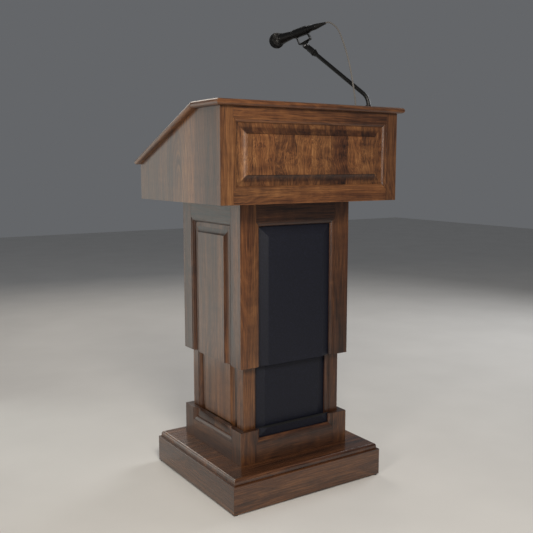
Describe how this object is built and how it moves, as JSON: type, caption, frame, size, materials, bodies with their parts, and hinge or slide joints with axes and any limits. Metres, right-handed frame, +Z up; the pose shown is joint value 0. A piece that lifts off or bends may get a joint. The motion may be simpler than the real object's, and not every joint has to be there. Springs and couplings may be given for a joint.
{
  "type": "presentation lectern",
  "caption": "Height-adjustable wooden lectern: slant-top desk on a telescoping frame-and-panel column, cloth speaker grille and gooseneck microphone.",
  "frame": {"origin": "centre of the footprint, on the floor under the glides", "axes": "+Z up; the audience side faces -Y and the presenter stands at +Y; +X is to the right seen from the audience"},
  "size_m": [0.686, 0.5649, 1.5047],
  "materials": {
    "walnut": "satin lacquer",
    "walnut_base": "satin lacquer",
    "grille_cloth": "woven, matt",
    "black_plastic": "matt",
    "grey_plastic": "matt",
    "steel": "brushed",
    "painted_steel": "powder coat",
    "brass": "machined",
    "black_metal": "semi-gloss",
    "clip_plastic": "matt",
    "mic_metal": "matt enamel",
    "mic_mesh": "matt mesh",
    "connector": "satin",
    "rubber": "matt",
    "cable": "satin"
  },
  "bodies": {
    "base": {"glides": "black_plastic", "skirt_front": "walnut_base", "skirt_back": "walnut_base", "skirt_left": "walnut_base", "skirt_right": "walnut_base", "base_deck": "walnut_base", "power_inlet": "black_plastic", "collar_front_frame": "walnut", "collar_back_frame": "walnut", "collar_left_frame": "walnut", "collar_right_frame": "walnut", "collar_panels": "walnut", "collar_grille": "grille_cloth", "inner_front_frame": "walnut", "inner_back_frame": "walnut", "inner_left_frame": "walnut", "inner_right_frame": "walnut", "inner_panels": "walnut", "inner_grille": "grille_cloth", "lift_foot_plate": "steel", "lift_bolts": "steel", "lift_outer_tube": "steel", "lift_motor": "black_plastic"},
    "screw": {"lift_screw": "steel"},
    "desk": {"lift_inner_tube": "steel", "lift_nut": "brass", "lift_head_plate": "steel", "sleeve_front_frame": "walnut", "sleeve_back_frame": "walnut", "sleeve_left_frame": "walnut", "sleeve_right_frame": "walnut", "sleeve_panels": "walnut", "sleeve_grille": "grille_cloth", "speaker_baffle": "black_plastic", "woofer": "black_plastic", "tweeter": "black_plastic", "desk_floor": "walnut", "desk_front_frame": "walnut", "desk_front_panel": "walnut", "desk_left_side": "walnut", "desk_right_side": "walnut", "desk_rear_rail": "walnut", "desk_top": "walnut", "reading_board": "walnut", "paper_stop": "walnut", "amplifier_case": "painted_steel", "control_plate": "black_plastic", "mic_flange": "black_metal", "gooseneck": "black_metal", "clip_barrel": "clip_plastic", "clip_screw": "steel", "cable_grommet": "rubber", "mic_cable": "cable"},
    "mic": {"mic_clip": "clip_plastic", "mic_handle": "mic_metal", "mic_head": "mic_mesh", "xlr_connector": "connector"},
    "volume": {"volume_knob": "black_plastic"},
    "power": {"power_rocker": "black_plastic"},
    "updown": {"lift_rocker": "grey_plastic"}
  },
  "joints": [
    {"name": "height_lift", "type": "slide", "parent": "base", "child": "desk", "axis": [0, 0, 1], "range_m": [-0.2, 0]},
    {"name": "screw_spin", "type": "hinge", "parent": "base", "child": "screw", "pos_m": [0, 0.012, 0.1], "axis": [0, 0, 1], "range_deg": [-3610, 10]},
    {"name": "mic_tilt", "type": "hinge", "parent": "desk", "child": "mic", "pos_m": [0.17224, 0.01969, 1.43347], "axis": [0.9272, 0.3746, 0], "range_deg": [-12, 30], "deforming": ["mic_cable"]},
    {"name": "volume_turn", "type": "hinge", "parent": "desk", "child": "volume", "pos_m": [0.165, 0.2505, 1.008], "axis": [0, 1, 0], "range_deg": [-150, 150]},
    {"name": "power_press", "type": "hinge", "parent": "desk", "child": "power", "pos_m": [0.225, 0.248, 1.008], "axis": [1, 0, 0], "range_deg": [-16, 0]},
    {"name": "lift_press", "type": "hinge", "parent": "desk", "child": "updown", "pos_m": [0.265, 0.248, 1.008], "axis": [1, 0, 0], "range_deg": [-8, 8], "stiffness_Nm_per_rad": 0.5}
  ],
  "couplings": [
    {"joint": "screw_spin", "follows": "height_lift", "rad_per_m": 314.16}
  ]
}
